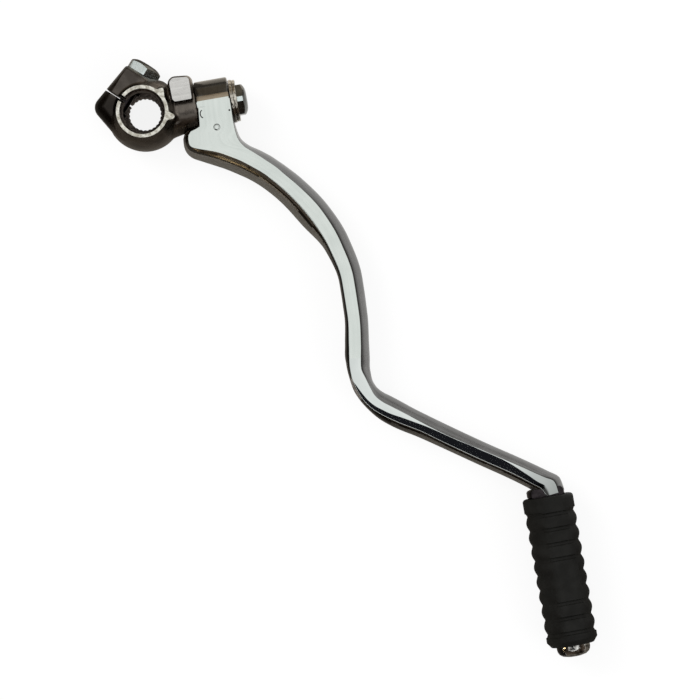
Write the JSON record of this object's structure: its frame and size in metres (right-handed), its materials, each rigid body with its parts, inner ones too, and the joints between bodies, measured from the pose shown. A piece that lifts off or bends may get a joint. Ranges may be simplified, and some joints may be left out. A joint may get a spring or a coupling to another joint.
{
  "type": "kick start lever",
  "caption": "Folding kick start lever: splined clamp boss, pivoting chromed arm with a ribbed rubber pedal, for starting an engine by foot.",
  "frame": {"origin": "on the axis of the splined kick shaft bore, at the back (engine side) face of the boss", "axes": "+Z along the bore axis away from the engine, +X along the fold pivot from the boss to the arm, -Y along the pedal peg to its tip"},
  "size_m": [0.1759, 0.2896, 0.026],
  "materials": {
    "boss_chrome": "bright chrome over forged steel",
    "arm_chrome": "bright chrome, brushed on the ground faces",
    "bolt_zinc": "plated bolt",
    "washer_steel": "plated washer",
    "pedal_rubber": "moulded black rubber",
    "spring_steel": "spring steel"
  },
  "bodies": {
    "clamp": {"boss": "boss_chrome", "pinch_bolt": "bolt_zinc", "pivot_bolt": "bolt_zinc", "pivot_washer": "washer_steel", "spring_washer": "washer_steel"},
    "arm": {"lever_arm": "arm_chrome", "pedal_rubber": "pedal_rubber", "detent_spring": "spring_steel"},
    "ball": {"detent_ball": "spring_steel"}
  },
  "joints": [
    {"name": "arm_fold", "type": "hinge", "parent": "clamp", "child": "arm", "pos_m": [0.0305, -0.0012, 0.011], "axis": [-1, 0, 0], "range_deg": [0, 58]},
    {"name": "ball_push", "type": "slide", "parent": "arm", "child": "ball", "axis": [-1, 0, 0], "range_m": [0, 0.0003], "stiffness_N_per_m": 200}
  ]
}
